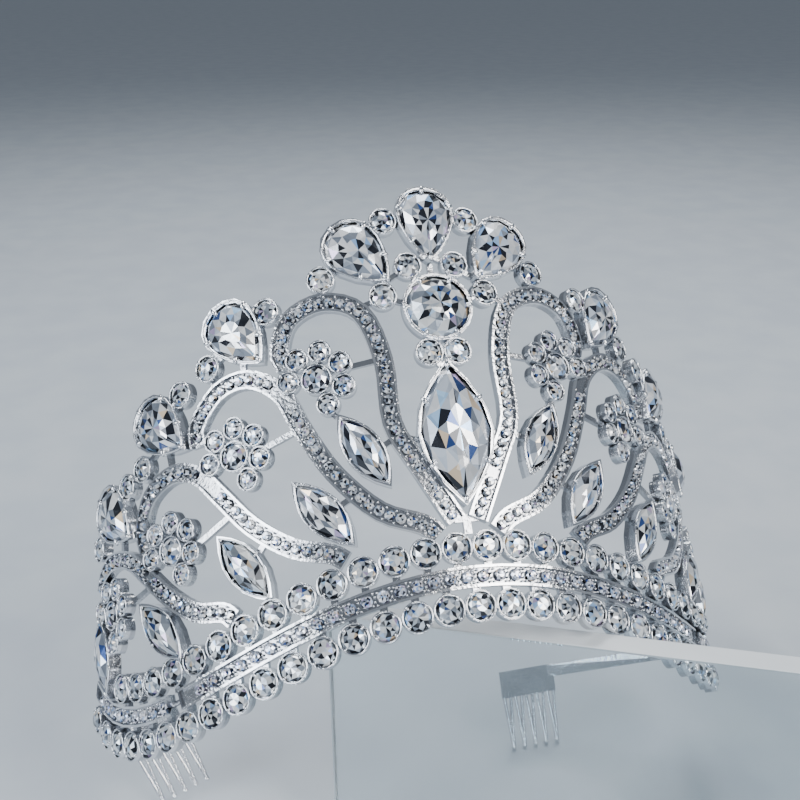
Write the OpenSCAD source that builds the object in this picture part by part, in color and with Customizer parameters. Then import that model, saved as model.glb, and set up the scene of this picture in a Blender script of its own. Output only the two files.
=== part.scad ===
// Pageant crown of cast metal and foil-backed stones, propped on a clear upright panel.
// Lengths are in millimetres. The crown is drawn as a flat pattern that is wrapped on a
// cylinder: u runs along the band from its middle, v is the height above the lower row of
// cups, and h is the distance out from the back of the metal.

/* [Bend and arch] */
// Radius that the back of the metal is bent to
bend_r = 78; // [72:1:84]
// Rise of the middle of the band above its low points at the sides
arch_rise = 18; // [14:1:20]
// Distance along the band from its middle to each low point
arch_reach = 80; // [78:1:84]
// How far the crown leans back on its combs, in degrees
lean_back = 40; // [36:1:44]
// How far the crown dips towards its right side, in degrees
side_dip = 3; // [2:0.5:4]

/* [Rows of cups] */
// Diameter of the round stones in the two rows of cups
row_stone_d = 5.5; // [4.8:0.1:5.9]
// Distance along the band between two cups
row_pitch = 6.4; // [6.2:0.1:6.8]
// Number of cups in the lower row to each side of the middle one
lower_side_cups = 16; // [14:1:16]
// Number of cups in the upper row on each side
upper_side_cups = 14; // [13:1:14]
// Height of the upper row above the lower row
row_gap = 12.2; // [12:0.1:12.6]
// Wall of a stone's cup
cup_wall = 0.4; // [0.3:0.05:0.5]

/* [Channels] */
// Width of the melee channels in the scrolls
scroll_w = 4.2; // [3.8:0.1:4.4]
// Width of the channel between the two rows of cups
band_w = 4.4; // [4.2:0.1:4.8]
// Width of a channel's raised rim
rim_w = 0.5; // [0.4:0.05:0.6]
// Height of a channel's rim above the back of the metal
rim_h = 2.1; // [1.9:0.1:2.4]
// Height of a channel's floor above the back of the metal
floor_h = 1.2; // [1:0.1:1.4]
// Diameter of the stones between the two rows
band_stone_d = 2.7; // [2.4:0.1:2.8]
// Distance along the band between two of these stones
band_pitch = 3.45; // [3.35:0.05:3.6]
// Half length of the channel's middle stretch
band_middle = 66; // [65.5:0.5:67]

/* [Stones] */
// Width of a pear stone
pear_w = 11.8; // [11:0.1:12.2]
// Length of a pear stone
pear_l = 16.4; // [15.6:0.1:17]
// Width of the big marquise
big_marquise_w = 15.4; // [14.6:0.1:15.8]
// Length of the big marquise
big_marquise_l = 29.6; // [28.6:0.2:30]
// Width of a small marquise
marquise_w = 7.4; // [7:0.1:7.7]
// Length of a small marquise
marquise_l = 16.8; // [16:0.2:17.2]
// Diameter of the round stone over the big marquise
round_d = 14; // [13.4:0.1:14.4]
// Diameter of the small round accents
accent_d = 5.2; // [4.2:0.1:5.4]
// Diameter of a flower's middle stone
flower_d = 5.8; // [4.8:0.1:6.4]
// Diameter of a flower's petals
petal_d = 4.1; // [3.4:0.1:4.5]
// Distance from a flower's middle to its petals
petal_reach = 6.2; // [5.8:0.1:6.8]

/* [Combs] */
// Width of a comb
comb_w = 15; // [14:0.5:18]
// Height of a comb's plate
comb_plate_h = 7; // [6:0.5:9]
// Length of a comb's teeth below its plate
tooth_l = 12.5; // [11:0.5:16]
// Diameter of the tooth wire
tooth_wire = 1; // [0.8:0.1:1.2]
// Number of teeth
teeth = 5; // [4:1:6]
// Width of the flat arm that carries a comb
arm_w = 3; // [2.4:0.2:3.6]
// Thickness of the comb's arm and plate
arm_t = 0.8; // [0.6:0.1:1.2]

/* [Upright panel] */
// Thickness of the clear sheet
sheet = 6; // [4:0.5:7]
// Length of the long upright leaf
leaf_l = 130; // [120:5:150]
// Length of the leaf that is folded back
fold_l = 80; // [70:5:100]
// Outer radius of the fold
fold_r = 9; // [8:1:12]
// Turn of the long leaf away from the crown's front, in degrees
panel_turn = 27; // [25:1:29]

/* [Hidden] */
$fn = 32;
metal = "gainsboro";
crystal = "azure";

// Clear gap all around a stone in its setting, and between two pieces that meet
fit = 0.12;
// Height of the small cups and of the large settings above the back of the metal
cup_h = 2.4;
setting_h = 3;
setting_wall = 0.7;
// How far a bar runs into what it is soldered to, and the widths of such bars
bite = 0.3;
bar_w = 1.6;
wire_w = 1.2;
// Depth of a stone's pointed back, and the gap between its point and the floor below it
small_deep = 0.8;
large_deep = 1;
band_deep = 0.6;
point_gap = 0.1;
small_seat = floor_h + point_gap + small_deep;
large_seat = floor_h + point_gap + large_deep;
band_seat = floor_h + point_gap + band_deep;

row_cup_r = row_stone_d / 2 + fit + cup_wall;
flower_cup_r = flower_d / 2 + fit + cup_wall;
channel_v = row_gap / 2;
// The two interruptions of the channel between the rows
end_gap = 3.2;
band_end = lower_side_cups * row_pitch;

// Scroll routes from foot to curl: [along u, above the lower row v]
route_a = [[2.3, 18], [8.6, 31], [12.8, 41], [13, 55], [16.5, 67], [24.5, 72.3], [32, 71.5],
    [34.8, 65.8], [33.8, 61.5]];
route_b = [[6.4, 15.4], [9.2, 18.3], [17.5, 23.2], [25.7, 34], [31.5, 46.5], [35.5, 56.5],
    [42.5, 63.5], [50, 64.8], [55.8, 60.5], [56, 56]];
route_c = [[25.6, 15.8], [28.5, 18.5], [36, 23], [44.5, 32], [51.6, 42.6], [57, 50], [64, 53.8],
    [71.5, 52], [74.8, 46], [74, 41]];
route_d = [[50.6, 15.8], [53, 18.4], [60, 21.8], [67.5, 28.3], [75, 36], [81, 40.3], [88, 40.6],
    [94, 36.8], [97.2, 31.5]];

// Settings: [along u, above the lower row v, turn in degrees]
pear_top_at = [0, 85.2, 0];
pear_a_at = [15.4, 80.2, -40];
pear_b_at = [43.8, 74.2, -36];
pear_c_at = [65.6, 65, -48];
pear_d_at = [84.4, 50.6, -50];
round_at = [0, 65.2, 0];
big_marquise_at = [0, 36.8, 0];
marquise_a_at = [19.2, 36.6, -29];
marquise_b_at = [28.9, 26.9, -38];
marquise_c_at = [46.6, 24.3, -37];
marquise_d_at = [69.4, 21.6, -43];
marquise_e_at = [94.6, 17.9, -8];

// Flowers: [along u, above the lower row v, direction of the first petal in degrees]
flower_a_at = [27.4, 55.7, 2];
flower_b_at = [47, 48.6, -6];
flower_c_at = [65.4, 37.4, -6];
flower_d_at = [89.4, 28.2, 16];
petal_step = 50;

// Accents of the crest and of each scroll: [along u, above the lower row v]
crest_accents = [[9.4, 87], [5.2, 75.6], [24.2, 77.3], [11.4, 69.4], [3.1, 55]];
accents_b = [[36.9, 76], [51.8, 71.4]];
accents_c = [[59.6, 69.9], [72.8, 59]];
accents_d = [[79, 56.9], [94.6, 42.8]];

// Soldered bars of the crest and of each scroll: [one end, other end], each [along u, v]
bars_a = [[[5.2, 75.6], [3.5, 71.5]], [[5.2, 75.6], [9.4, 73.5]], [[5.2, 75.6], [1.5, 77.5]],
    [[11.4, 69.4], [7, 67.5]], [[11.4, 69.4], [16.5, 68.5]], [[11.4, 69.4], [10, 73.5]],
    [[9.4, 87], [5.5, 86.5]], [[9.4, 87], [12.5, 86]], [[24.2, 77.3], [24.5, 73.5]],
    [[24.2, 77.3], [21, 78.5]], [[3.1, 55], [2.5, 58.5]], [[3.1, 55], [0.5, 52]],
    [[7.5, 36], [11.5, 38]], [[17, 36], [12, 38]], [[24.2, 46.2], [26.6, 49]],
    [[21, 56], [14, 55.6]]];
bars_middle = [[[0, 76], [0, 72]], [[-3.1, 55], [3.1, 55]]];
bars_foot = [[[-2.6, 18.4], [2.6, 18.4]], [[0, 18.4], [0, 15]]];
bars_b = [[[43.8, 70], [43.5, 64.5]], [[36.9, 76], [40, 74.5]], [[51.8, 71.4], [48.5, 72.5]],
    [[51.8, 71.4], [51, 66]], [[27.5, 27], [21, 28.6]], [[41, 47], [31.8, 47]],
    [[56, 57.5], [51.4, 53]]];
bars_c = [[[65.6, 62], [64.5, 54.5]], [[59.6, 69.9], [63, 67]], [[72.8, 59], [69.5, 61.5]],
    [[72.8, 59], [71, 53.5]], [[45.5, 25], [41, 28.5]], [[59.5, 35.5], [48.6, 37.4]]];
bars_d = [[[84, 47], [84.5, 41]], [[79, 56.9], [82, 53]], [[94.6, 42.8], [90, 46]],
    [[94.6, 42.8], [91, 39]], [[68, 23.5], [64.6, 26]], [[84, 30], [72, 33]],
    [[93.5, 20], [90, 25]]];

// Where the crown's middle stands over the panel's foot, and the place on the lower row that
// rests on the sheet
crown_at = [-31.2, 6.2, 72];
rest_u = 27.5;
rest_gap = 0.4;
// Feet of the combs on the floor, their lean backwards and their roll, in degrees
comb_right_foot = [-0.6, 45.7];
comb_left_foot = [-93.2, 46.4];
comb_lean = 30;
comb_left_roll = -24;
arm_u = 92;
tooth_tip_r = tooth_wire * 0.65;
// Half of the gap between the legs of two teeth, and half of a tooth's width at its tip
leg_gap = 0.1;

// Height that the arch of the band takes off at u
function drop(u) = arch_rise * (2 * pow(u / arch_reach, 2) - pow(u / arch_reach, 4));
function turn_at(u) = u / bend_r * 180 / PI;
function on_bend(u, z, h) =
    [(bend_r + h) * sin(turn_at(u)), bend_r - (bend_r + h) * cos(turn_at(u)), z];

// Stands the children on the wrapped surface, facing outwards
module at(place, h = 0) {
    translate([0, bend_r, place[1] - drop(place[0])])
        rotate([0, 0, turn_at(place[0])])
            translate([0, -bend_r - h, 0])
                rotate([90, 0, 0])
                    children();
}

// Smooth curve through a route's points
function blend(a, b, c, d, t) =
    b + 0.5 * t * (c - a + t * (2 * a - 5 * b + 4 * c - d + t * (3 * (b - c) + d - a)));
function knot(p, i) = i < 0 ? 2 * p[0] - p[1]
    : i >= len(p) ? 2 * p[len(p) - 1] - p[len(p) - 2] : p[i];
function smooth_route(p, steps) = concat(
    [for (i = [0:len(p) - 2]) for (k = [0:steps - 1])
        blend(knot(p, i - 1), p[i], p[i + 1], knot(p, i + 2), k / steps)],
    [p[len(p) - 1]]);
function dropped(route) = [for (p = route) [p[0], p[1] - drop(p[0])]];
function heading(p, i) = let (d = p[min(i + 1, len(p) - 1)] - p[max(i - 1, 0)]) d / norm(d);

// Section of a channel with two raised rims: [across, out from the back]
function channel_section(w) = let (b = w / 2)
    [[-b, 0], [b, 0], [b, rim_h], [b - rim_w, rim_h], [b - rim_w, floor_h],
        [rim_w - b, floor_h], [rim_w - b, rim_h], [-b, rim_h]];

// Carries a section along a route on the bend
module channel(route, w, steps = 4) {
    path = dropped(smooth_route(route, steps));
    section = channel_section(w);
    n = len(section);
    points = [for (i = [0:len(path) - 1]) let (d = heading(path, i)) for (s = section)
        on_bend(path[i][0] + s[0] * d[1], path[i][1] - s[0] * d[0], s[1])];
    sides = [for (i = [0:len(path) - 2]) for (k = [0:n - 1])
        let (m = (k + 1) % n) [i * n + k, i * n + m, i * n + n + m, i * n + n + k]];
    first = [for (k = [0:n - 1]) n - 1 - k];
    last = [for (k = [0:n - 1]) (len(path) - 1) * n + k];
    polyhedron(points, concat([first], sides, [last]), convexity = 8);
}

// Outlines, seen from the front, with the pear's tip and a marquise's tips on the Y axis
pear_full = 1.245;
function pear(w, l, n = 24) = [for (i = [0:n - 1]) let (t = 360 * i / n)
    [w / 2 * pear_full * sin(t) * pow(abs(sin(t / 2)), 0.8), -l / 2 * cos(t)]];
function marquise(w, l, n = 24) = [for (i = [0:n - 1]) let (t = 360 * i / n)
    [w / 2 * sin(t) * abs(sin(t)), -l / 2 * cos(t)]];
function ring(d, n = 8) = [for (i = [0:n - 1]) d / 2 * [cos(360 * i / n), sin(360 * i / n)]];

// Cut stone on a girdle outline: a table, crown facets and a pointed back
module stone(outline, high, deep, table = 0.55, shoulder = 0) {
    n = len(outline);
    rings = shoulder > 0 ? [[1, 0], [shoulder, high * 0.62], [table, high]] : [[1, 0], [table, high]];
    m = len(rings);
    points = concat([for (r = rings) for (p = outline) [p[0] * r[0], p[1] * r[0], r[1]]],
        [[0, 0, -deep]]);
    crown = [for (i = [0:m - 2]) for (k = [0:n - 1]) let (j = (k + 1) % n)
        [i * n + k, i * n + n + k, i * n + n + j, i * n + j]];
    back = [for (k = [0:n - 1]) [m * n, k, (k + 1) % n]];
    polyhedron(points, concat(crown, back, [[for (k = [0:n - 1]) (m - 1) * n + n - 1 - k]]));
}

// Round stone's boss, cup and pocket, and what a neighbour keeps clear of it
module boss(d) {
    cylinder(r = d / 2 + fit + cup_wall, h = cup_h);
}
module cup(d) {
    difference() {
        boss(d);
        pocket(d);
    }
}
module pocket(d) {
    translate([0, 0, floor_h]) cylinder(r = d / 2 + fit, h = setting_h);
}
module cup_clearance(d) {
    translate([0, 0, -bite]) cylinder(r = d / 2 + 2 * fit + cup_wall, h = setting_h + 2 * bite);
}

// Walled settings on an outline, and their pockets
module pear_setting() {
    wall = 2 * (setting_wall + fit);
    linear_extrude(setting_h) polygon(pear(pear_w + wall, pear_l + 1.4 * wall, 16));
}
module pear_pocket() {
    translate([0, 0, floor_h]) linear_extrude(setting_h)
        polygon(pear(pear_w + 2 * fit, pear_l + 3 * fit, 16));
}
module marquise_setting(w, l) {
    wall = 2 * (cup_wall + fit);
    linear_extrude(setting_h) polygon(marquise(w + wall, l + 2.4 * wall, 16));
}
module marquise_pocket(w, l) {
    translate([0, 0, floor_h]) linear_extrude(setting_h)
        polygon(marquise(w + 2 * fit, l + 5 * fit, 16));
}

// Flat bar between two places on the back of the metal
module link(a, b, wide = wire_w) {
    run = [b[0] - a[0], b[1] - drop(b[0]) - a[1] + drop(a[0])];
    middle_u = (a[0] + b[0]) / 2;
    middle_v = (a[1] - drop(a[0]) + b[1] - drop(b[0])) / 2 + drop(middle_u);
    at([middle_u, middle_v]) rotate(atan2(run[1], run[0]))
        translate([-norm(run) / 2, -wide / 2, 0]) cube([norm(run), wide, floor_h]);
}

module each_petal(place, h = 0) {
    at(place, h) for (k = [0:5]) rotate(place[2] + petal_step * k) translate([petal_reach, 0, 0])
        children();
}
module flower_cups(place) {
    spoke = petal_reach - flower_cup_r + bite;
    at(place) boss(flower_d);
    each_petal(place) {
        boss(petal_d);
        translate([-spoke, -bar_w / 2, 0]) cube([spoke, bar_w, floor_h]);
    }
}
module flower_pockets(place) {
    at(place) pocket(flower_d);
    each_petal(place) pocket(petal_d);
}
module flower_clearance(place) {
    each_petal(place) cup_clearance(petal_d);
}
module flower_stones(place) {
    color(crystal) {
        at(place, small_seat) stone(ring(flower_d), 1.1, small_deep);
        each_petal(place, small_seat) stone(ring(petal_d), 0.9, small_deep);
    }
}

// Takes the upper row's cups out of a foot that comes down between them
module row_clearance(from, to) {
    for (k = [from:to]) at([(k + 0.5) * row_pitch, row_gap]) cup_clearance(row_stone_d);
}

// One stretch of the channel between the rows
module band_channel(from, to, steps) {
    channel([for (i = [0:steps]) [from + (to - from) * i / steps, channel_v]], band_w, 1);
}

module base_band() {
    peg = channel_v - band_w / 2 - row_cup_r + 2 * bite;
    inner = band_middle + end_gap;
    color(metal) {
        band_channel(-band_middle, band_middle, 24);
        band_channel(inner, band_end + 1, 6);
        band_channel(-band_end - 1, -inner, 6);
        for (s = [-1, 1])
            rod(on_bend(s * (band_middle - 1), channel_v - drop(band_middle - 1), floor_h / 2),
                on_bend(s * (inner + 1), channel_v - drop(inner + 1), floor_h / 2), wire_w);
        for (k = [-lower_side_cups:lower_side_cups]) at([k * row_pitch, 0]) {
            cup(row_stone_d);
            translate([-bar_w / 2, row_cup_r - bite, 0]) cube([bar_w, peg, floor_h]);
        }
        for (k = [-upper_side_cups:upper_side_cups - 1]) at([(k + 0.5) * row_pitch, row_gap]) {
            cup(row_stone_d);
            translate([-bar_w / 2, bite - row_cup_r - peg, 0]) cube([bar_w, peg, floor_h]);
        }
    }
}

// Scroll with its flower, pear, marquises, accents and bars before the pockets are cut
module scroll_body(route, flower, pear_at, marquises, accents, bars) {
    channel(route, scroll_w);
    flower_cups(flower);
    at(pear_at) rotate(pear_at[2]) pear_setting();
    for (p = marquises) at(p) rotate(p[2]) marquise_setting(marquise_w, marquise_l);
    for (p = accents) at(p) boss(accent_d);
    for (b = bars) link(b[0], b[1]);
}
module scroll_pockets(flower, pear_at, marquises, accents) {
    flower_pockets(flower);
    at(pear_at) rotate(pear_at[2]) pear_pocket();
    for (p = marquises) at(p) rotate(p[2]) marquise_pocket(marquise_w, marquise_l);
    for (p = accents) at(p) pocket(accent_d);
}

module half_crest() {
    scroll_body(route_a, flower_a_at, pear_a_at, [marquise_a_at], crest_accents, bars_a);
}
module half_crest_pockets() {
    scroll_pockets(flower_a_at, pear_a_at, [marquise_a_at], crest_accents);
}
module crest() {
    color(metal) difference() {
        union() {
            half_crest();
            mirror([1, 0, 0]) half_crest();
            at(pear_top_at) pear_setting();
            at(round_at) cylinder(d = round_d + 2 * (fit + setting_wall), h = setting_h);
            at(big_marquise_at) marquise_setting(big_marquise_w, big_marquise_l);
            for (b = bars_middle) link(b[0], b[1]);
            for (b = bars_foot) link(b[0], b[1], bar_w);
        }
        half_crest_pockets();
        mirror([1, 0, 0]) half_crest_pockets();
        at(pear_top_at) pear_pocket();
        at(round_at) pocket(round_d);
        at(big_marquise_at) marquise_pocket(big_marquise_w, big_marquise_l);
        row_clearance(-1, 0);
    }
}

module scroll_b() {
    color(metal) difference() {
        scroll_body(route_b, flower_b_at, pear_b_at, [marquise_b_at], accents_b, bars_b);
        scroll_pockets(flower_b_at, pear_b_at, [marquise_b_at], accents_b);
        row_clearance(0, 3);
        flower_clearance(flower_a_at);
    }
}

module scroll_c() {
    color(metal) difference() {
        scroll_body(route_c, flower_c_at, pear_c_at, [marquise_c_at], accents_c, bars_c);
        scroll_pockets(flower_c_at, pear_c_at, [marquise_c_at], accents_c);
        row_clearance(3, 7);
        flower_clearance(flower_b_at);
    }
}

module scroll_d() {
    marquises = [marquise_d_at, marquise_e_at];
    color(metal) difference() {
        scroll_body(route_d, flower_d_at, pear_d_at, marquises, accents_d, bars_d);
        scroll_pockets(flower_d_at, pear_d_at, marquises, accents_d);
        row_clearance(7, 13);
        flower_clearance(flower_c_at);
    }
}

module pear_stone(place) {
    color(crystal) at(place, large_seat) rotate(place[2])
        stone(pear(pear_w, pear_l, 16), 2.6, large_deep, 0.5, 0.82);
}
module marquise_stone(place, w, l, high) {
    color(crystal) at(place, large_seat) rotate(place[2])
        stone(marquise(w, l, 16), high, large_deep, 0.5, 0.8);
}
module small_marquise(place) {
    marquise_stone(place, marquise_w, marquise_l, 2.2);
}
module big_marquise() {
    marquise_stone(big_marquise_at, big_marquise_w, big_marquise_l, 3.4);
}
module round_stone() {
    color(crystal) at(round_at, large_seat) stone(ring(round_d, 16), 3, large_deep, 0.5, 0.82);
}
module accents() {
    color(crystal) for (p = concat(crest_accents, accents_b, accents_c, accents_d))
        at(p, small_seat) stone(ring(accent_d), 0.9, small_deep);
}
module row_stone(u, v) {
    color(crystal) at([u, v], small_seat) stone(ring(row_stone_d), 1.2, small_deep);
}
module lower_row() {
    for (k = [-lower_side_cups:lower_side_cups]) row_stone(k * row_pitch, 0);
}
module upper_row() {
    for (k = [-upper_side_cups:upper_side_cups - 1]) row_stone((k + 0.5) * row_pitch, row_gap);
}
module band_stone(u) {
    color(crystal) at([u, channel_v], band_seat) stone(ring(band_stone_d), 0.7, band_deep);
}
module band_stones() {
    side = floor(band_middle / band_pitch - 0.2);
    inner = band_middle + end_gap;
    ends = floor((band_end - inner) / band_pitch);
    for (k = [-side:side - 1]) band_stone((k + 0.5) * band_pitch);
    for (s = [-1, 1]) for (k = [0:ends - 1]) band_stone(s * (inner + (k + 0.6) * band_pitch));
}

// Puts the crown over the panel's foot, leaning back
module posed() {
    translate(crown_at) rotate([-lean_back, side_dip, 0]) children();
}
// Height over the floor of a point of the crown
function height_of(p) = crown_at[2] + (p[2] * cos(lean_back) - p[1] * sin(lean_back)) * cos(side_dip)
    - p[0] * sin(side_dip);

// Straight rod between two points
module rod(a, b, d) {
    v = b - a;
    translate(a) rotate([0, acos(v[2] / norm(v)), atan2(v[1], v[0])])
        cylinder(d = d, h = norm(v), $fn = 16);
}

// Stands a comb's children on the floor, with the lowest tip of its teeth at height zero
module on_floor(foot, roll) {
    tip_row = comb_w * (1 - 1 / teeth) / 2;
    translate([foot[0], foot[1], tooth_tip_r + tip_row * abs(sin(roll))])
        rotate([-comb_lean, roll, 0]) children();
}
// Comb with a plate and V-shaped wire teeth, carried by a flat arm from the band's back
module comb(foot, roll, side) {
    pitch = comb_w / teeth;
    spread = (pitch - tooth_wire) / 2 - leg_gap;
    on_floor(foot, roll) {
        translate([-comb_w / 2, -arm_t / 2, tooth_l]) cube([comb_w, arm_t, comb_plate_h]);
        for (i = [0:teeth - 1]) {
            x = (i + 0.5 - teeth / 2) * pitch;
            for (s = [-1, 1])
                rod([x + s * spread, 0, tooth_l + bite], [x + s * leg_gap, 0, 0], tooth_wire);
            translate([x, 0, 0]) sphere(r = tooth_tip_r);
        }
    }
    hull() {
        posed() at([side * arm_u, channel_v], -fit - arm_t)
            translate([-arm_w / 2, -arm_w / 2, 0]) cube([arm_w, arm_w, arm_t]);
        on_floor(foot, roll)
            translate([side * (comb_w / 2 - arm_w / 4 - bite), 0,
                tooth_l + comb_plate_h - arm_w / 2 - bite])
                cube([arm_w / 2, arm_t / 2, arm_w], center = true);
    }
}
module comb_right() {
    color(metal) comb(comb_right_foot, 0, 1);
}
module comb_left() {
    color(metal) comb(comb_left_foot, comb_left_roll, -1);
}

// L-shaped clear sheet whose long leaf stands centred on the origin
module upright_panel() {
    high = height_of(on_bend(rest_u, -row_cup_r - drop(rest_u), 0)) - rest_gap;
    straight = leaf_l - fold_r;
    color("azure", 0.4) rotate([0, 0, -panel_turn]) translate([-leaf_l / 2, -sheet / 2, 0]) {
        cube([straight, sheet, high]);
        translate([leaf_l - sheet, fold_r, 0]) cube([sheet, fold_l - fold_r, high]);
        translate([straight, fold_r, 0]) rotate([0, 0, -90])
            rotate_extrude(angle = 90) translate([fold_r - sheet, 0]) square([sheet, high]);
    }
}

posed() base_band();
posed() crest();
posed() scroll_b();  // scroll_b_right
posed() mirror([1, 0, 0]) scroll_b();  // scroll_b_left
posed() scroll_c();  // scroll_c_right
posed() mirror([1, 0, 0]) scroll_c();  // scroll_c_left
posed() scroll_d();  // scroll_d_right
posed() mirror([1, 0, 0]) scroll_d();  // scroll_d_left
comb_right();
comb_left();
upright_panel();
posed() pear_stone(pear_top_at);  // pear_top
posed() pear_stone(pear_a_at);  // pear_a_right
posed() mirror([1, 0, 0]) pear_stone(pear_a_at);  // pear_a_left
posed() pear_stone(pear_b_at);  // pear_b_right
posed() mirror([1, 0, 0]) pear_stone(pear_b_at);  // pear_b_left
posed() pear_stone(pear_c_at);  // pear_c_right
posed() mirror([1, 0, 0]) pear_stone(pear_c_at);  // pear_c_left
posed() pear_stone(pear_d_at);  // pear_d_right
posed() mirror([1, 0, 0]) pear_stone(pear_d_at);  // pear_d_left
posed() round_stone();
posed() big_marquise();
posed() small_marquise(marquise_a_at);  // marquise_a_right
posed() mirror([1, 0, 0]) small_marquise(marquise_a_at);  // marquise_a_left
posed() small_marquise(marquise_b_at);  // marquise_b_right
posed() mirror([1, 0, 0]) small_marquise(marquise_b_at);  // marquise_b_left
posed() small_marquise(marquise_c_at);  // marquise_c_right
posed() mirror([1, 0, 0]) small_marquise(marquise_c_at);  // marquise_c_left
posed() small_marquise(marquise_d_at);  // marquise_d_right
posed() mirror([1, 0, 0]) small_marquise(marquise_d_at);  // marquise_d_left
posed() small_marquise(marquise_e_at);  // marquise_e_right
posed() mirror([1, 0, 0]) small_marquise(marquise_e_at);  // marquise_e_left
posed() flower_stones(flower_a_at);  // flower_a_right
posed() mirror([1, 0, 0]) flower_stones(flower_a_at);  // flower_a_left
posed() flower_stones(flower_b_at);  // flower_b_right
posed() mirror([1, 0, 0]) flower_stones(flower_b_at);  // flower_b_left
posed() flower_stones(flower_c_at);  // flower_c_right
posed() mirror([1, 0, 0]) flower_stones(flower_c_at);  // flower_c_left
posed() flower_stones(flower_d_at);  // flower_d_right
posed() mirror([1, 0, 0]) flower_stones(flower_d_at);  // flower_d_left
posed() accents();  // accents_right
posed() mirror([1, 0, 0]) accents();  // accents_left
posed() lower_row();
posed() upper_row();
posed() band_stones();
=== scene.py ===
"""Looks of the pageant crown: cut crystals, melee, rims, claws, silver plating, clear panel."""

import functools
import math
import random

import bmesh
import bpy
from mathutils import Matrix, Vector


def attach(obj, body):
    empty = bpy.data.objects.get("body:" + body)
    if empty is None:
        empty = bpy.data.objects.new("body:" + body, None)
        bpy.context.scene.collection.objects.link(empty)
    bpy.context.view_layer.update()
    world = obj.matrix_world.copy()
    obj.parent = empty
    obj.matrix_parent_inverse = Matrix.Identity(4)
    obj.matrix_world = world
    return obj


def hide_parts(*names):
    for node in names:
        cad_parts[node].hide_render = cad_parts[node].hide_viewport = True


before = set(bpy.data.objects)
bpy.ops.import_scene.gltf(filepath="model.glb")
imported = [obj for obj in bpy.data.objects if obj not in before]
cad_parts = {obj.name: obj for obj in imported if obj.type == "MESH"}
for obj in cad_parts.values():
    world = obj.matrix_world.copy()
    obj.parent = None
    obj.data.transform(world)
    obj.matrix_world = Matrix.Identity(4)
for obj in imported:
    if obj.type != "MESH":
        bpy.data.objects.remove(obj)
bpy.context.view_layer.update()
rng = random.Random(7)

# The crown's bend, arch and lean, in millimetres and degrees, as the solids have them
BEND_R = 78
ARCH_RISE, ARCH_REACH = 18, 80
LEAN_BACK, SIDE_DIP = 40, 3
CROWN_AT = (-31.2, 6.2, 72)

# Rows, channels, cups, settings and seats of the solids
ROW_PITCH, ROW_GAP = 6.4, 12.2
LOWER_SIDE_CUPS, UPPER_SIDE_CUPS = 16, 14
SCROLL_W, RIM_W, RIM_H, FLOOR_H = 4.2, 0.5, 2.1, 1.2
CUP_H, SETTING_H, FIT, CUP_WALL, SETTING_WALL = 2.4, 3, 0.12, 0.4, 0.7
SMALL_SEAT, LARGE_SEAT, BAND_SEAT = 2.1, 2.3, 1.9
SMALL_DEEP, LARGE_DEEP, BAND_DEEP = 0.8, 1, 0.6

# Stones: size across, length, and how far each rises above its seat
ROW_D, ACCENT_D, FLOWER_D, PETAL_D, ROUND_D = 5.5, 5.2, 5.8, 4.1, 14
ROW_HIGH, ACCENT_HIGH, FLOWER_HIGH, PETAL_HIGH, ROUND_HIGH = 1.2, 0.9, 1.1, 0.9, 3
PEAR_W, PEAR_L, PEAR_HIGH = 11.8, 16.4, 2.6
PEAR_FULL, PEAR_TAPER = 1.245, 0.8
MARQUISE_W, MARQUISE_L, MARQUISE_HIGH = 7.4, 16.8, 2.2
BIG_MARQUISE_W, BIG_MARQUISE_L, BIG_MARQUISE_HIGH = 15.4, 29.6, 3.4
PETALS, PETAL_REACH, PETAL_STEP = 6, 6.2, 50
BAND_STONE_D, BAND_STONE_HIGH, BAND_PITCH = 2.7, 0.7, 3.45
BAND_MIDDLE, END_GAP = 66, 3.2
# Shares of a pitch: kept free at the end of the band's middle, and before an end's first stone
MIDDLE_SPARE, END_SPARE = 0.2, 0.6
# How far a row stone and a melee stone may be turned by chance, in degrees
ROW_TURN, MELEE_TURN = 30, 45

# Each scroll's route, as (u along the band, v above the lower row)
ROUTES = {
    "a": ((2.3, 18), (8.6, 31), (12.8, 41), (13, 55), (16.5, 67), (24.5, 72.3), (32, 71.5),
          (34.8, 65.8), (33.8, 61.5)),
    "b": ((6.4, 15.4), (9.2, 18.3), (17.5, 23.2), (25.7, 34), (31.5, 46.5), (35.5, 56.5),
          (42.5, 63.5), (50, 64.8), (55.8, 60.5), (56, 56)),
    "c": ((25.6, 15.8), (28.5, 18.5), (36, 23), (44.5, 32), (51.6, 42.6), (57, 50), (64, 53.8),
          (71.5, 52), (74.8, 46), (74, 41)),
    "d": ((50.6, 15.8), (53, 18.4), (60, 21.8), (67.5, 28.3), (75, 36), (81, 40.3), (88, 40.6),
          (94, 36.8), (97.2, 31.5)),
}
LETTERS = "abcd"

# Places of the stones on the right half, as (u, v) or (u, v, turn)
PEAR_TOP, ROUND_AT, BIG_MARQUISE_AT = (0, 85.2), (0, 65.2), (0, 36.8)
PEARS = {"a": (15.4, 80.2, -40), "b": (43.8, 74.2, -36), "c": (65.6, 65, -48),
         "d": (84.4, 50.6, -50)}
MARQUISES = {"a": (19.2, 36.6, -29), "b": (28.9, 26.9, -38), "c": (46.6, 24.3, -37),
             "d": (69.4, 21.6, -43), "e": (94.6, 17.9, -8)}
SMOKY_MARQUISES = "cd"
SCROLL_MARQUISES = {"a": "a", "b": "b", "c": "c", "d": "de"}
FLOWERS = {"a": (27.4, 55.7, 2), "b": (47, 48.6, -6), "c": (65.4, 37.4, -6), "d": (89.4, 28.2, 16)}
ACCENTS = {
    "a": ((9.4, 87), (5.2, 75.6), (24.2, 77.3), (11.4, 69.4), (3.1, 55)),
    "b": ((36.9, 76), (51.8, 71.4)),
    "c": ((59.6, 69.9), (72.8, 59)),
    "d": ((79, 56.9), (94.6, 42.8)),
}
SIDES = {"right": 1, "left": -1}

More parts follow.
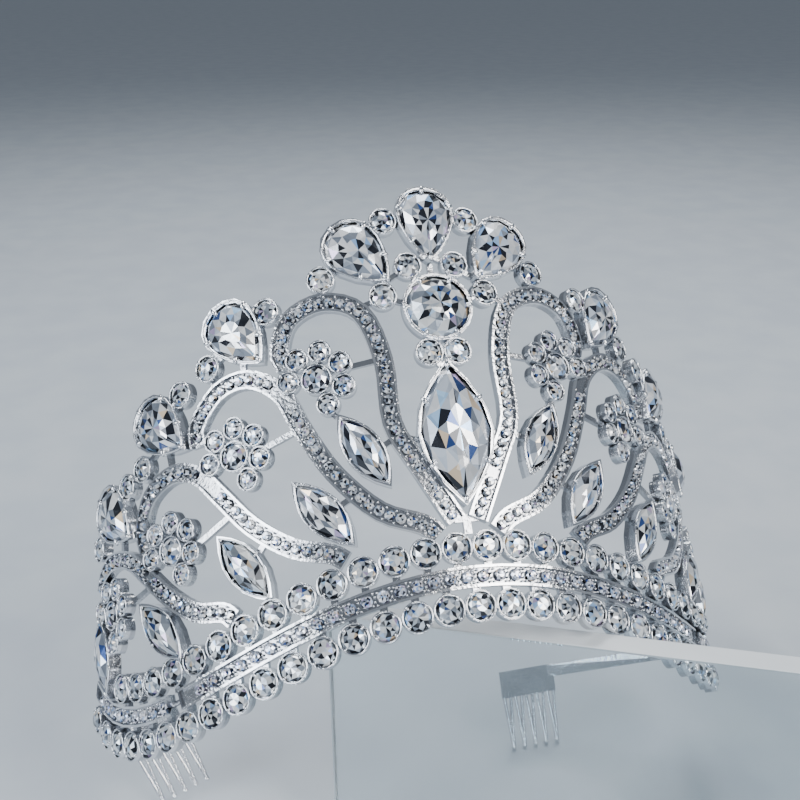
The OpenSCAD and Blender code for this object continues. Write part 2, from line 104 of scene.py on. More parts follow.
# Cuts: sides of each kind of stone, and its rings of facets as (share, rise, half turn)
PEAR_SIDES, MARQUISE_SIDES, ROUND_SIDES, SMALL_SIDES, TINY_SIDES = 14, 12, 16, 10, 8
LARGE_RINGS = ((0.87, 0.4, True), (0.6, 0.84, True), (0.36, 1.0, True))
SMALL_RINGS = ((0.8, 0.55, True), (0.46, 1.0, True))
MELEE_RINGS = ((0.62, 1.0, True),)

# Melee and the beads that hold it: sizes, pitch, where it starts and what it keeps clear
MELEE_D, MELEE_PITCH, MELEE_HIGH, MELEE_DEEP, MELEE_SEAT = 2.3, 2.36, 0.62, 0.35, 1.62
MELEE_START = 1.5
MELEE_REACH, BEAD_REACH = MELEE_D / 2 - 0.15, MELEE_D / 2 - 0.3
BEAD_R, BEAD_HIGH = 0.3, 0.75
BAND_BEADS = ((0, 0.5), (-0.45, 1.25), (0.45, 1.25))
ROUTE_STEPS = 4
# Shares of a long stone's half length at which circles cover it
COVERING = (-0.62, -0.36, 0, 0.36, 0.62)

# Rims: the wire's radius, its sides and steps, and how far ahead its direction is looked up
LIP_R, LARGE_LIP_R = 0.2, 0.26
LIP_SIDES, LIP_STEPS, LIP_LOOK = 6, 24, 0.02
# Claws: half sizes, places round each outline in degrees, and counts on the round cups
CLAW = (0.34, 0.62, 0.42)
LARGE_CLAW = (0.6, 1.15, 0.62)
CLAW_INSET, CLAW_RISE = 0.05, 0.1
PEAR_CLAWS = (0, 60, 118, 180, 242, 300)
MARQUISE_CLAWS = (0, 90, 180, 270)
BIG_MARQUISE_CLAWS = (0, 62, 118, 180, 242, 298)
CUP_CLAWS, PETAL_CLAWS, ROUND_CLAWS = 4, 3, 6
CUP_FIRST_CLAW, ROUND_FIRST_CLAW = 45.0, 30.0

# Clear sheet: thickness and ease of its edges in metres, then what is flat and what is an
# edge on it, in degrees, and how level a sawn end is
SHEET, SHEET_EASE = 0.006, 0.0005
SHEET_FLAT, SHEET_EDGE, SHEET_LEVEL = 0.5, 30, 0.9

# How near two points are one: in the shapes, and in metres on the sheet
WELD, SHEET_WELD = 1e-5, 1e-6

# Painted reflections: colours the facets of a foil-backed crystal are painted with, with their
# shares, then painted sparkle and a painted glint
PAINTED_FACET_REFLECTIONS = (
    ((1.0, 1.0, 1.0), 28), ((0.66, 0.72, 0.80), 20), ((0.26, 0.29, 0.34), 18),
    ((0.015, 0.018, 0.026), 22), ((0.40, 0.62, 0.95), 5), ((0.03, 0.07, 0.22), 3),
    ((0.85, 0.66, 0.46), 2), ((0.58, 0.46, 0.68), 2),
)
FACET_DIM, FACET_SWING = 0.8, 0.4
# Painted sparkle: shades of small cells, multiplied into the crystal's colour
PAINTED_SPARKLE_SHADES = ((0.0, (0.25, 0.27, 0.32)), (0.3, (0.75, 0.8, 0.86)), (0.62, (1, 1, 1)),
               (1.0, (1.0, 0.98, 0.95)))
SPARKLE_SCALE, SPARKLE_SHARE, TINT_SHARE = 330.0, 0.35, 0.35
# Colour of the painted glint that the brightest sparkle cells glow with
GLINT = (0.9, 0.95, 1.0)

# Silver: pale and cloudy plating, and painted shade, a grey, down in the channels
PLATING_PALE, PLATING_CLOUDY = (0.90, 0.91, 0.93), (0.72, 0.74, 0.78)
CLOUD_SCALE, GRAIN_SCALE, PLATING_BUMP = 160.0, 1400.0, 0.00012
GROOVE_SHADE_GREY, GROOVE_SHADE_SHARE = (0.16, 0.17, 0.19), 0.45

# Acrylic and floor
ACRYLIC_IOR = 1.49
SHEET_TINT = (0.84, 0.91, 0.94)
SAWN_GREY, SAWN_PALE = (0.70, 0.74, 0.77), (0.80, 0.83, 0.85)
FLOOR_GREY, FLOOR_PALE = (0.42, 0.46, 0.51), (0.46, 0.50, 0.54)
FLOOR_REACH, FLOOR_DROP = 12, 0.0002

# Studio, in metres: the air, and each softbox's place, size, watts and colour
AIR_COLOUR, AIR_STRENGTH = (0.42, 0.47, 0.54, 1), 0.5
LIGHTS_AIM = (-0.02, 0.02, 0.09)
SOFTBOXES = (
    ("key_softbox", (0.42, -0.5, 0.72), 0.45, 8.0, (1.0, 0.98, 0.95)),
    ("side_softbox", (-0.8, -0.2, 0.5), 0.5, 7.0, (0.88, 0.94, 1.0)),
    ("top_softbox", (0.1, 0.55, 0.8), 0.45, 7.0, (0.95, 0.98, 1.0)),
    ("low_softbox", (-0.1, -0.9, 0.18), 0.3, 2.2, (0.92, 0.96, 1.0)),
)

# Camera at the photograph's angle: lens and film width in millimetres, place in metres
CAMERA_LENS, CAMERA_FILM = 49.5, 36
CAMERA_AT = (-0.0921, -0.1748, 0.1987)
CAMERA_AHEAD, CAMERA_UP = (0.222, 0.8937, -0.3898), (0.1043, 0.3757, 0.9209)


def turn(axis, degrees):
    return Matrix.Rotation(math.radians(degrees), 4, axis)


def drop(u):
    """How far the crown's arch has fallen at u along the band."""
    share = u / ARCH_REACH
    return ARCH_RISE * (2 * share**2 - share**4)


POSE = Matrix.Translation(CROWN_AT) @ turn("Y", SIDE_DIP) @ turn("X", -LEAN_BACK)
MILLIMETRES = Matrix.Scale(0.001, 4)


def place(u, v, high=0.0, spin=0.0):
    """Stands something on the wrapped front at u along the band and v above the lower row."""
    return (MILLIMETRES @ POSE @ Matrix.Translation((0, BEND_R, v - drop(u)))
            @ turn("Z", math.degrees(u / BEND_R)) @ Matrix.Translation((0, -BEND_R - high, 0))
            @ turn("X", 90) @ turn("Z", spin))


# Outlines of stones, from their tip round to the other end
def round_outline(w, l, t):
    return w / 2 * math.sin(t), -l / 2 * math.cos(t)


def marquise_outline(w, l, t):
    return w / 2 * math.sin(t) * abs(math.sin(t)), -l / 2 * math.cos(t)


def pear_outline(w, l, t):
    return (w / 2 * PEAR_FULL * math.sin(t) * abs(math.sin(t / 2)) ** PEAR_TAPER,
            -l / 2 * math.cos(t))


OUTLINES = {"round": round_outline, "marquise": marquise_outline, "pear": pear_outline}


def mesh_of(bm, name):
    mesh = bpy.data.meshes.new(name)
    bm.to_mesh(mesh)
    bm.free()
    return mesh


@functools.lru_cache(None)
def stone_shape(kind, w, l, high, deep, sides, rings):
    """Cut stone: a pointed back, then facets up through the rings."""
    bm = bmesh.new()
    bmesh.ops.create_cone(bm, cap_ends=True, segments=sides, radius1=0.0, radius2=1.0, depth=1.0,
                          matrix=Matrix.Translation((0, 0, -0.5)))
    bmesh.ops.remove_doubles(bm, verts=bm.verts, dist=WELD)
    top = max(bm.faces, key=lambda f: f.calc_center_median().z)
    reach = 1.0
    for share, rise, half_turn in rings:
        top = bmesh.ops.extrude_discrete_faces(bm, faces=[top])["faces"][0]
        bmesh.ops.scale(bm, verts=top.verts, vec=(share / reach, share / reach, 1))
        level = top.verts[0].co.z
        bmesh.ops.translate(bm, verts=top.verts, vec=(0, 0, rise - level))
        if half_turn:
            bmesh.ops.rotate(bm, verts=top.verts, cent=(0, 0, 0),
                             matrix=Matrix.Rotation(math.pi / sides, 3, "Z"))
        reach = share
    bmesh.ops.poke(bm, faces=[top])
    bmesh.ops.triangulate(bm, faces=bm.faces, quad_method="SHORT_EDGE")
    for v in bm.verts:
        t, r = math.atan2(v.co.x, -v.co.y), math.hypot(v.co.x, v.co.y)
        x, y = OUTLINES[kind](w, l, t)
        v.co = (x * r, y * r, v.co.z * (high if v.co.z > 0 else deep))
    return mesh_of(bm, f"{kind}_stone")


@functools.lru_cache(None)
def lip_shape(kind, w, l, wire, high):
    """Rounded rim that runs round the top of a setting."""
    bm = bmesh.new()
    bmesh.ops.create_circle(bm, segments=LIP_SIDES, radius=wire,
                            matrix=Matrix.Translation((0, -1, high)) @ turn("Y", 90))
    bmesh.ops.spin(bm, geom=bm.verts[:] + bm.edges[:], cent=(0, 0, 0), axis=(0, 0, 1),
                   angle=2 * math.pi, steps=LIP_STEPS, use_merge=True)
    bmesh.ops.remove_doubles(bm, verts=bm.verts, dist=WELD)
    outline = OUTLINES[kind]
    for v in bm.verts:
        t, r = math.atan2(v.co.x, -v.co.y), math.hypot(v.co.x, v.co.y)
        x, y = outline(w, l, t)
        run = Vector(outline(w, l, t + LIP_LOOK)) - Vector(outline(w, l, t - LIP_LOOK))
        out = Vector((run.y, -run.x))
        out = out.normalized() if out.length > 1e-6 else Vector((x, y)).normalized()
        v.co = (x + out.x * (r - 1), y + out.y * (r - 1), v.co.z)
    bmesh.ops.recalc_face_normals(bm, faces=bm.faces)
    return mesh_of(bm, f"{kind}_lip")


@functools.lru_cache(None)
def claw_shape(size):
    """Rounded claw that lies over a stone's edge, pointing to its middle."""
    bm = bmesh.new()
    bmesh.ops.create_uvsphere(bm, u_segments=8, v_segments=6, radius=1)
    bmesh.ops.scale(bm, verts=bm.verts, vec=size)
    return mesh_of(bm, "claw")


@functools.lru_cache(None)
def bead_shape():
    bm = bmesh.new()
    bmesh.ops.create_icosphere(bm, subdivisions=1, radius=BEAD_R)
    bmesh.ops.scale(bm, verts=bm.verts, vec=(1, 1, BEAD_HIGH / BEAD_R / 2))
    return mesh_of(bm, "bead")


class Wire:
    """A socket that Python's operators can add to."""

    def __init__(self, finish, socket):
        self.finish, self.socket = finish, socket

    def math(self, operation, *values):
        return self.finish.node("ShaderNodeMath", {"operation": operation}, dict(enumerate(values)))

    def __add__(self, other):
        return self.math("ADD", self, other)

    def __sub__(self, other):
        return self.math("SUBTRACT", self, other)

    def __rsub__(self, other):
        return self.math("SUBTRACT", other, self)

    def __mul__(self, other):
        return self.math("MULTIPLY", self, other)

    __radd__, __rmul__ = __add__, __mul__

    def root(self):
        return self.math("SQRT", self)

    def between(self, low, high):
        """0 below low, 1 above high, smooth between them."""
        return self.finish.node("ShaderNodeMapRange", {"interpolation_type": "SMOOTHSTEP"},
                                {"Value": self, "From Min": low, "From Max": high})


class Finish:
    """A material, with one way to make a node in it."""

    # The Mix node's two colour sockets and its colour result
    MIX_FIRST, MIX_SECOND, MIX_RESULT = 6, 7, 2

    def __init__(self, name):
        self.material = bpy.data.materials.new(name)
        self.material.use_nodes = True
        self.tree = self.material.node_tree
        self.tree.nodes.clear()
        self.here = self.node("ShaderNodeTexCoord", out="Object")

    def node(self, kind, settings=None, values=None, out=0):
        made = self.tree.nodes.new(kind)
        for key, value in (settings or {}).items():
            if key == "stops":
                stops = made.color_ramp.elements
                while len(stops) < len(value):
                    stops.new(1.0)
                for stop, (at, colour) in zip(stops, value):
                    stop.position, stop.color = at, (*colour, 1)
            else:
                setattr(made, key, value)
        for key, value in (values or {}).items():
            if isinstance(value, Wire):
                self.tree.links.new(value.socket, made.inputs[key])
            else:
                made.inputs[key].default_value = value
        return Wire(self, made.outputs[out])

    def noise(self, scale, detail=3.0):
        return self.node("ShaderNodeTexNoise", None,
                         {"Vector": self.here, "Scale": scale, "Detail": detail})

    def mix(self, share, first, second, blend="MIX"):
        values = {"Factor": share}
        for key, colour in ((self.MIX_FIRST, first), (self.MIX_SECOND, second)):
            values[key] = colour if isinstance(colour, Wire) else (*colour, 1)
        return self.node("ShaderNodeMix", {"data_type": "RGBA", "blend_type": blend}, values,
                         self.MIX_RESULT)

    def dot(self, point, axis):
        return self.node("ShaderNodeVectorMath", {"operation": "DOT_PRODUCT"},
                         {0: point, 1: tuple(axis)}, "Value")

    def bump(self, height, distance, strength=1.0):
        return self.node("ShaderNodeBump", None,
                         {"Strength": strength, "Distance": distance, "Height": height})

    def shader(self, **values):
        named = {key.replace("_", " ").title().replace("Ior", "IOR"): value
                 for key, value in values.items()}
        named = {k: (*v, 1) if isinstance(v, tuple) else v for k, v in named.items()}
        return self.node("ShaderNodeBsdfPrincipled", None, named)

    def done(self, surface):
        out = self.tree.nodes.new("ShaderNodeOutputMaterial")
        self.tree.links.new(surface.socket, out.inputs["Surface"])
        return self.material


def silver_plating(name, groove_shade):
    """Bright silver plating on a slightly uneven casting, with painted shade greying it down in the
    channels if asked.
    """
    f = Finish(name)
    cloud, grain = f.noise(CLOUD_SCALE), f.noise(GRAIN_SCALE, 2.0)
    colour = f.mix(cloud.between(0.35, 0.7), PLATING_PALE, PLATING_CLOUDY)
    if groove_shade:
        # Painted shade: the plating is greyed low down in the channels, near their floors, where
        # shade falls
        unposed = (MILLIMETRES @ POSE).inverted()
        across, depth = unposed.row[0], unposed.row[1]
        x = f.dot(f.here, across.xyz) + across.w
        y = f.dot(f.here, depth.xyz) + (depth.w - BEND_R)
        height = (x * x + y * y).root() - BEND_R
        deep = 1 - height.between(FLOOR_H + 0.1, RIM_H - 0.25)
        colour = f.mix(deep * GROOVE_SHADE_SHARE, colour, GROOVE_SHADE_GREY)
    rough = grain * 0.14 + cloud * 0.16 + 0.02
    return f.done(f.shader(base_color=colour, metallic=1.0, roughness=rough,
                           normal=f.bump(grain * 0.6 + cloud, PLATING_BUMP)))


def foiled_crystal(name, tint):
    """Clear cut crystal over foil: each facet has its own painted light, grey or dark reflection,
    plus painted sparkle and glint.
    """
    f = Finish(name)
    facet = f.node("ShaderNodeAttribute", {"attribute_name": "facet"}, None, "Color")
    # Painted sparkle: small cells whose random shade is multiplied into the painted facet
    # reflections
    sparkle_cells = f.node("ShaderNodeTexVoronoi", {"feature": "F1"},
                   {"Vector": f.here, "Scale": SPARKLE_SCALE}, "Color")
    sparkle_value = f.node("ShaderNodeSeparateColor", None, {0: sparkle_cells}, "Red")
    painted_sparkle = f.node("ShaderNodeValToRGB", {"stops": PAINTED_SPARKLE_SHADES}, {0: sparkle_value})
    colour = f.mix(SPARKLE_SHARE, facet, painted_sparkle, "MULTIPLY")
    colour = f.mix(TINT_SHARE, colour, tint, "MULTIPLY")
    # Painted glint: the brightest sparkle cells glow, though no lamp is there
    painted_glint = f.mix(sparkle_value.between(0.9, 0.97), (0.0, 0.0, 0.0), GLINT)
    return f.done(f.shader(base_color=colour, metallic=0.5, roughness=sparkle_value * 0.12 + 0.06,
                           coat_weight=0.6, coat_roughness=0.03, coat_ior=1.5,
                           emission_color=painted_glint, emission_strength=0.25))


def clear_sheet(name):
    """Clear acrylic with a faint blue-grey cast, not quite flat."""
    f = Finish(name)
    return f.done(f.shader(base_color=SHEET_TINT, roughness=0.03, transmission_weight=1.0,
                           ior=ACRYLIC_IOR, normal=f.bump(f.noise(18.0, 1.0), 0.0004, 0.3)))


def sawn_sheet(name):
    """Sawn and buffed edge of the acrylic: paler and softer than its faces."""
    f = Finish(name)
    saw = f.noise(60.0, 2.0)
    colour = f.mix(saw.between(0.3, 0.8), SAWN_GREY, SAWN_PALE)
    return f.done(f.shader(base_color=colour, roughness=saw * 0.15 + 0.25,
                           transmission_weight=0.2, ior=ACRYLIC_IOR,
                           normal=f.bump(f.noise(900.0, 1.0), 0.00003)))


def pale_floor(name):
    f = Finish(name)
    colour = f.mix(f.noise(40.0).between(0.3, 0.7), FLOOR_GREY, FLOOR_PALE)
    return f.done(f.shader(base_color=colour, roughness=0.45))


# The cast metal's plating carries painted shade in its channels; the bright one has none
SILVER = silver_plating("silver_plating", True)
BRIGHT_SILVER = silver_plating("bright_silver", False)
CRYSTAL = foiled_crystal("foiled_crystal", (0.93, 0.96, 1.0))
SMOKY_CRYSTAL = foiled_crystal("smoky_crystal", (0.72, 0.76, 0.74))
BAND_CRYSTAL = foiled_crystal("mauve_crystal", (0.80, 0.80, 1.0))
PALE_CRYSTAL = foiled_crystal("pale_melee", (1.0, 1.0, 1.0))


def paint_facet_reflections(mesh):
    """Paints each facet with its own reflection tone, a painted reflection at a random brightness.
    """
    tones, shares = zip(*PAINTED_FACET_REFLECTIONS)
    layer = mesh.color_attributes.new("facet", "FLOAT_COLOR", "CORNER")
    picked = rng.choices(tones, shares, k=len(mesh.polygons))
    for face, tone in zip(mesh.polygons, picked):
        light = FACET_DIM + FACET_SWING * rng.random()
        for corner in face.loop_indices:
            layer.data[corner].color = (*(min(1, c * light) for c in tone), 1)


def stand_up(name, mesh, stands_for=()):
    """Puts a finished mesh on the crown's only body."""
    made = bpy.data.objects.new(name, mesh)
    bpy.context.scene.collection.objects.link(made)
    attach(made, "root")
    if stands_for:
        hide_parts(*stands_for)


def add_piece(name, shapes, finish, smooth=False, stands_for=()):
    """Joins placed shapes into one piece. One that isn't smooth is cut, and gets painted facet
    reflections.
    """
    bm = bmesh.new()
    for shape, at in shapes:
        placed = shape.copy()
        placed.transform(at)
        bm.from_mesh(placed)
        bpy.data.meshes.remove(placed)
    for face in bm.faces:
        face.smooth = smooth
    mesh = mesh_of(bm, name)
    if not smooth:
        paint_facet_reflections(mesh)
    mesh.materials.append(finish)
    stand_up(name, mesh, stands_for)


def add_crystals(node, shapes, finish, name=None):
    """Cut crystals in the place of a node of plain stones."""
    add_piece(f"crystal_{name or node}", shapes, finish, stands_for=[node])


def add_silver(name, shapes):
    """Small rounded metal that the solids leave out."""
    add_piece(name, shapes, BRIGHT_SILVER, True)


def pear_cut():
    return stone_shape("pear", PEAR_W, PEAR_L, PEAR_HIGH, LARGE_DEEP, PEAR_SIDES, LARGE_RINGS)


def marquise_cut(w, l, high):
    return stone_shape("marquise", w, l, high, LARGE_DEEP, MARQUISE_SIDES, LARGE_RINGS)


def round_cut(d, high, deep=SMALL_DEEP, sides=SMALL_SIDES, rings=SMALL_RINGS):
    return stone_shape("round", d, d, high, deep, sides, rings)


def petals(flower, side):
    """Offsets of a flower's petals from its middle."""
    for k in range(PETALS):
        angle = math.radians(flower[2] + PETAL_STEP * k)
        yield side * PETAL_REACH * math.cos(angle), PETAL_REACH * math.sin(angle)


def on_flower(flower, side, high, offset=(0, 0)):
    """Petals stand on the flat of their flower's own place."""
    return place(side * flower[0], flower[1], high) @ Matrix.Translation((*offset, 0))


def middle_crystals():
    """Top pear, round stone and big marquise."""
    add_crystals("pear_top", [(pear_cut(), place(*PEAR_TOP, LARGE_SEAT))], CRYSTAL)
    cut = round_cut(ROUND_D, ROUND_HIGH, LARGE_DEEP, ROUND_SIDES, LARGE_RINGS)
    add_crystals("round_stone", [(cut, place(*ROUND_AT, LARGE_SEAT))], SMOKY_CRYSTAL, "round")
    cut = marquise_cut(BIG_MARQUISE_W, BIG_MARQUISE_L, BIG_MARQUISE_HIGH)
    add_crystals("big_marquise", [(cut, place(*BIG_MARQUISE_AT, LARGE_SEAT))], CRYSTAL)


def side_crystals(word, side):
    """Pears, marquises, flowers and accents of one side."""
    for letter, (u, v, spin) in PEARS.items():
        add_crystals(f"pear_{letter}_{word}",
                     [(pear_cut(), place(side * u, v, LARGE_SEAT, side * spin))], CRYSTAL)
    cut = marquise_cut(MARQUISE_W, MARQUISE_L, MARQUISE_HIGH)
    for letter, (u, v, spin) in MARQUISES.items():
        add_crystals(f"marquise_{letter}_{word}",
                     [(cut, place(side * u, v, LARGE_SEAT, side * spin))],
                     SMOKY_CRYSTAL if letter in SMOKY_MARQUISES else CRYSTAL)
    for letter, flower in FLOWERS.items():
        shapes = [(round_cut(FLOWER_D, FLOWER_HIGH), on_flower(flower, side, SMALL_SEAT))]
        shapes += [(round_cut(PETAL_D, PETAL_HIGH), on_flower(flower, side, SMALL_SEAT, p))
                   for p in petals(flower, side)]
        add_crystals(f"flower_{letter}_{word}", shapes, CRYSTAL)
    shapes = [(round_cut(ACCENT_D, ACCENT_HIGH), place(side * u, v, SMALL_SEAT))
              for group in ACCENTS.values() for u, v in group]
    add_crystals(f"accents_{word}", shapes, SMOKY_CRYSTAL)


# Places along the band: both rows of cups, then the small stones between them
LOWER_ROW = [(k * ROW_PITCH, 0) for k in range(-LOWER_SIDE_CUPS, LOWER_SIDE_CUPS + 1)]
UPPER_ROW = [((k + 0.5) * ROW_PITCH, ROW_GAP) for k in range(-UPPER_SIDE_CUPS, UPPER_SIDE_CUPS)]
BAND_END = LOWER_SIDE_CUPS * ROW_PITCH
BAND_INNER = BAND_MIDDLE + END_GAP
BAND_SIDE = math.floor(BAND_MIDDLE / BAND_PITCH - MIDDLE_SPARE)
BAND_PLACES = [(k + 0.5) * BAND_PITCH for k in range(-BAND_SIDE, BAND_SIDE)]
BAND_PLACES += [s * (BAND_INNER + (k + END_SPARE) * BAND_PITCH) for s in (-1, 1)
                for k in range(math.floor((BAND_END - BAND_INNER) / BAND_PITCH))]


def band_crystals():
    """Two rows, each stone turned by chance in its cup, and the small stones between them."""
    for name, row in (("lower_row", LOWER_ROW), ("upper_row", UPPER_ROW)):
        shapes = [(round_cut(ROW_D, ROW_HIGH), place(u, v, SMALL_SEAT, rng.uniform(0, ROW_TURN)))
                  for u, v in row]
        add_crystals(name, shapes, SMOKY_CRYSTAL)
    cut = round_cut(BAND_STONE_D, BAND_STONE_HIGH, BAND_DEEP, TINY_SIDES)
    add_crystals("band_stones", [(cut, place(u, ROW_GAP / 2, BAND_SEAT)) for u in BAND_PLACES],
                 BAND_CRYSTAL)


def blend_points(a, b, c, d, t):
    """Point at share t from b to c, on a smooth curve that also heeds a and d."""
    return b + 0.5 * t * (c - a + t * (2 * a - 5 * b + 4 * c - d + t * (3 * (b - c) + d - a)))


def smooth_route(points):
    p = [Vector(q) for q in points]
    p = [2 * p[0] - p[1], *p, 2 * p[-1] - p[-2]]
    path = [blend_points(*p[i:i + 4], k / ROUTE_STEPS)
            for i in range(len(p) - 3) for k in range(ROUTE_STEPS)]
    return [Vector((q.x, q.y - drop(q.x))) for q in [*path, p[-2]]]


def along(points, pitch, start):
    """Places every pitch along a route, as (u, v above the lower row, direction)."""
    path, left = smooth_route(points), start
    for a, b in zip(path, path[1:]):
        run = b - a
        while left <= run.length:
            q = a + run * (left / run.length)
            yield q.x, q.y + drop(q.x), math.degrees(math.atan2(run.y, run.x))
            left += pitch
        left -= run.length


def circles_over(stone, w, l, wall):
    """Circles that cover a long stone and its setting."""
    u, v, spin = stone
    angle = math.radians(spin)
    for share in COVERING:
        wide = w / 2 * (1 - share * share) + wall
        yield (u - share * l / 2 * math.sin(angle), v + share * l / 2 * math.cos(angle), wide)


def taken_places(letter):
    """Circles (u, v, radius) that a scroll's melee keeps clear of."""
    wall = FIT + CUP_WALL
    circles = [(u, v, ROW_D / 2 + wall) for u, v in UPPER_ROW]
    before = LETTERS[max(0, LETTERS.index(letter) - 1)]
    for other in sorted({letter, before}):
        u, v, _ = FLOWERS[other]
        circles.append((u, v, FLOWER_D / 2 + wall))
        circles += [(u + x, v + y, PETAL_D / 2 + wall) for x, y in petals(FLOWERS[other], 1)]
    circles += [(u, v, ACCENT_D / 2 + wall) for u, v in ACCENTS[letter]]
    circles += circles_over(PEARS[letter], PEAR_W, PEAR_L, wall)
    for m in SCROLL_MARQUISES[letter]:
        circles += circles_over(MARQUISES[m], MARQUISE_W, MARQUISE_L, wall)
    if letter == "a":
        circles += circles_over((*BIG_MARQUISE_AT, 0), BIG_MARQUISE_W, BIG_MARQUISE_L, wall)
        circles.append((*ROUND_AT, ROUND_D / 2 + SETTING_WALL + FIT))
    return circles


def free_places(letter, start, reach):
    """Places along a scroll where something of this reach touches no cup or setting."""
    circles = taken_places(letter)
    for u, v, way in along(ROUTES[letter], MELEE_PITCH, start):
        if all(math.hypot(u - a, v - drop(u) - b + drop(a)) > r + reach for a, b, r in circles):
            yield u, v, way


def melee():
    """Small stones and their beads along each scroll on both sides, and the band's beads."""
    stone = round_cut(MELEE_D, MELEE_HIGH, MELEE_DEEP, TINY_SIDES, MELEE_RINGS)
    side_step = SCROLL_W / 2 - RIM_W - BEAD_R
    bead_level = FLOOR_H + BEAD_HIGH / 2
    for letter in LETTERS:
        spots = list(free_places(letter, MELEE_START, MELEE_REACH))
        gaps = list(free_places(letter, MELEE_START + MELEE_PITCH / 2, BEAD_REACH))
        for word, side in SIDES.items():
            shapes = [(stone, place(side * u, v, MELEE_SEAT, rng.uniform(0, MELEE_TURN)))
                      for u, v, _ in spots]
            add_piece(f"melee_{letter}_{word}", shapes, PALE_CRYSTAL)
            add_silver(f"melee_beads_{letter}_{word}",
                       [(bead_shape(), place(side * u, v, bead_level, side * way)
                         @ Matrix.Translation((0, s * side_step, 0)))
                        for u, v, way in gaps for s in (-1, 1)])
    between = [u + BAND_PITCH / 2 for u in BAND_PLACES]
    between = [u for u in between if abs(abs(u) - BAND_MIDDLE - END_GAP / 2) > END_GAP]
    add_silver("melee_beads_band",
               [(bead_shape(), place(u, ROW_GAP / 2, bead_level)
                 @ Matrix.Translation((x, s * y, 0)))
                for u in between for s in (-1, 1) for x, y in BAND_BEADS])


def lip(kind, w, l, wall, wire, high, at):
    return lip_shape(kind, w + 2 * FIT + wall, l + 2 * FIT + wall, wire, high), at


def claws_round(at, radius, high, count, size, first):
    """Claws at even steps round a round stone."""
    for k in range(count):
        yield (claw_shape(size), at @ turn("Z", first + 360 * k / count)
               @ Matrix.Translation((0, radius, high)))


def claws_on(kind, w, l, angles, at, size):
    """Claws at given places round the outline of a large stone."""
    for degrees in angles:
        t = math.radians(degrees)
        x, y = OUTLINES[kind](w, l, t)
        yield (claw_shape(size), at @ Matrix.Translation((x, y, SETTING_H))
               @ turn("Z", math.degrees(math.atan2(-x, y))))


def cup_rims(d, at, count=CUP_CLAWS):
    return [lip("round", d, d, CUP_WALL, LIP_R, CUP_H, at),
            *claws_round(at, d / 2 - CLAW_INSET, CUP_H + CLAW_RISE, count, CLAW, CUP_FIRST_CLAW)]


def pear_rims(at):
    return [lip("pear", PEAR_W, PEAR_L, SETTING_WALL, LARGE_LIP_R, SETTING_H, at),
            *claws_on("pear", PEAR_W, PEAR_L, PEAR_CLAWS, at, LARGE_CLAW)]


def marquise_rims(at):
    return [lip("marquise", MARQUISE_W, MARQUISE_L, CUP_WALL, LIP_R, SETTING_H, at),
            *claws_on("marquise", MARQUISE_W, MARQUISE_L, MARQUISE_CLAWS, at, CLAW)]


def middle_rims():
    """Rims and claws of the top pear, the round stone and the big marquise."""
    shapes = pear_rims(place(*PEAR_TOP))
    at = place(*ROUND_AT)
    shapes.append(lip("round", ROUND_D, ROUND_D, SETTING_WALL, LARGE_LIP_R, SETTING_H, at))
    shapes += claws_round(at, ROUND_D / 2, SETTING_H, ROUND_CLAWS, LARGE_CLAW, ROUND_FIRST_CLAW)
    at = place(*BIG_MARQUISE_AT)
    shapes.append(lip("marquise", BIG_MARQUISE_W, BIG_MARQUISE_L, 2 * CUP_WALL, LIP_R, SETTING_H,
                      at))
    shapes += claws_on("marquise", BIG_MARQUISE_W, BIG_MARQUISE_L, BIG_MARQUISE_CLAWS, at,
                       LARGE_CLAW)
    return shapes


def scroll_rims(letter, side):
    """Rims and claws of the stones that one scroll carries."""
    u, v, spin = PEARS[letter]
    shapes = pear_rims(place(side * u, v, 0, side * spin))
    for m in SCROLL_MARQUISES[letter]:
        u, v, spin = MARQUISES[m]
        shapes += marquise_rims(place(side * u, v, 0, side * spin))
    flower = FLOWERS[letter]
    shapes += cup_rims(FLOWER_D, on_flower(flower, side, 0))
    for p in petals(flower, side):
        shapes += cup_rims(PETAL_D, on_flower(flower, side, 0, p), PETAL_CLAWS)
    for u, v in ACCENTS[letter]:
        shapes += cup_rims(ACCENT_D, place(side * u, v))
    return shapes


def rims():
    """Rounded rims and claws over every setting, joined for each metal piece."""
    add_silver("rims_base_band",
               [s for u, v in LOWER_ROW + UPPER_ROW for s in cup_rims(ROW_D, place(u, v))])
    groups = {"crest": middle_rims()}
    for letter in LETTERS:
        for word, side in SIDES.items():
            name = "crest" if letter == "a" else f"scroll_{letter}_{word}"
            groups.setdefault(name, []).extend(scroll_rims(letter, side))
    for name, shapes in groups.items():
        add_silver(f"rims_{name}", shapes)


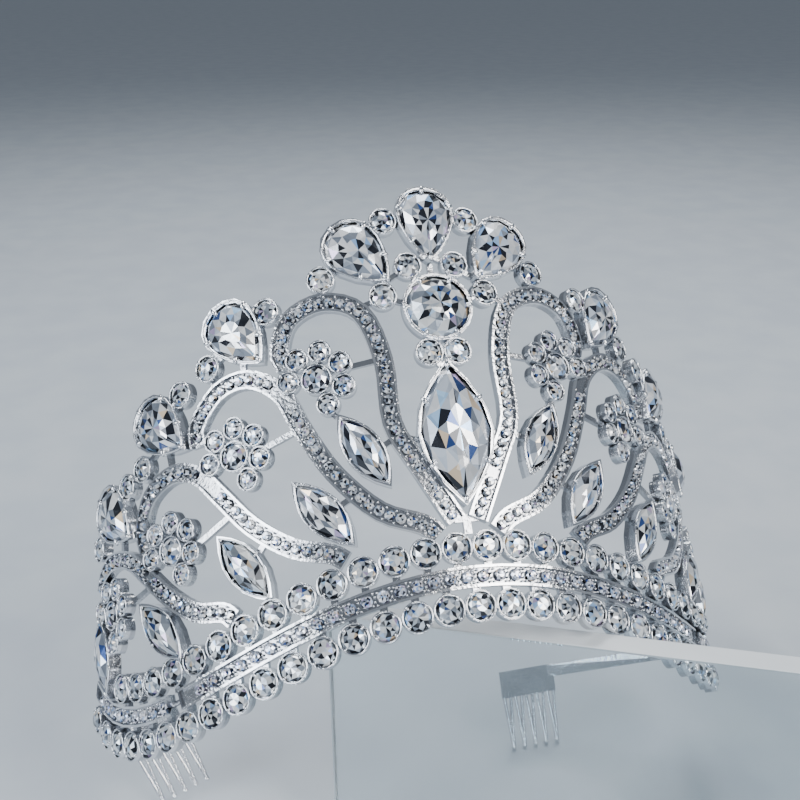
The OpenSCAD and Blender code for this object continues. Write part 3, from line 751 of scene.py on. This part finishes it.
def panel():
    """Clear panel with its sawn edges eased, in place of its solid."""
    bm = bmesh.new()
    bm.from_mesh(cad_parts["upright_panel"].data)
    bmesh.ops.remove_doubles(bm, verts=bm.verts, dist=SHEET_WELD)
    bmesh.ops.dissolve_limit(bm, angle_limit=math.radians(SHEET_FLAT), verts=bm.verts,
                             edges=bm.edges)
    for face in bm.faces:
        narrow = min(e.calc_length() for e in face.edges)
        sawn = abs(face.normal.z) > SHEET_LEVEL or abs(narrow - SHEET) < SHEET / 10
        face.material_index = int(sawn)
    corners = [e for e in bm.edges if len(e.link_faces) == 2
               and e.calc_face_angle() > math.radians(SHEET_EDGE)]
    bmesh.ops.bevel(bm, geom=corners, offset=SHEET_EASE, segments=2, profile=0.5,
                    affect="EDGES", material=-1)
    mesh = mesh_of(bm, "clear_panel")
    mesh.materials.append(clear_sheet("clear_acrylic"))
    mesh.materials.append(sawn_sheet("sawn_acrylic"))
    stand_up("clear_panel", mesh, ["upright_panel"])


def plate_solids():
    """The cast metal and the combs keep their solids and get the plating; the cast metal's has
    painted shade in its channels.
    """
    for name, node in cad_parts.items():
        if name.startswith(("base_band", "crest", "scroll_", "comb_")):
            node.data.materials.clear()
            node.data.materials.append(BRIGHT_SILVER if name.startswith("comb") else SILVER)


def lay_floor():
    bm = bmesh.new()
    bmesh.ops.create_grid(bm, x_segments=1, y_segments=1, size=FLOOR_REACH)
    mesh = mesh_of(bm, "floor")
    mesh.materials.append(pale_floor("pale_floor"))
    floor = bpy.data.objects.new("floor", mesh)
    bpy.context.scene.collection.objects.link(floor)
    floor.location.z = -FLOOR_DROP


def light_studio():
    world = bpy.data.worlds.new("studio_air")
    world.use_nodes = True
    air = world.node_tree.nodes["Background"]
    air.inputs["Color"].default_value = AIR_COLOUR
    air.inputs["Strength"].default_value = AIR_STRENGTH
    bpy.context.scene.world = world

    aim = Vector(LIGHTS_AIM)
    for name, spot, size, watts, colour in SOFTBOXES:
        lamp = bpy.data.lights.new(name, "AREA")
        lamp.shape, lamp.size, lamp.energy, lamp.color = "SQUARE", size, watts, colour
        stand = bpy.data.objects.new(name, lamp)
        stand.location = spot
        stand.rotation_euler = (aim - Vector(spot)).to_track_quat("-Z", "Y").to_euler()
        bpy.context.scene.collection.objects.link(stand)


def set_camera():
    eye = bpy.data.cameras.new("photo_camera")
    eye.lens, eye.sensor_width = CAMERA_LENS, CAMERA_FILM
    eye.clip_start, eye.clip_end = 0.01, 50
    camera = bpy.data.objects.new("photo_camera", eye)
    ahead = Vector(CAMERA_AHEAD).normalized()
    right = ahead.cross(Vector(CAMERA_UP)).normalized()
    up = right.cross(ahead)
    look = Matrix((right, up, -ahead)).transposed().to_4x4()
    look.translation = CAMERA_AT
    camera.matrix_world = look
    bpy.context.scene.collection.objects.link(camera)
    bpy.context.scene.camera = camera


lay_floor()
light_studio()
set_camera()
plate_solids()
middle_crystals()
for side_name, side_sign in SIDES.items():
    side_crystals(side_name, side_sign)
band_crystals()
melee()
rims()
panel()
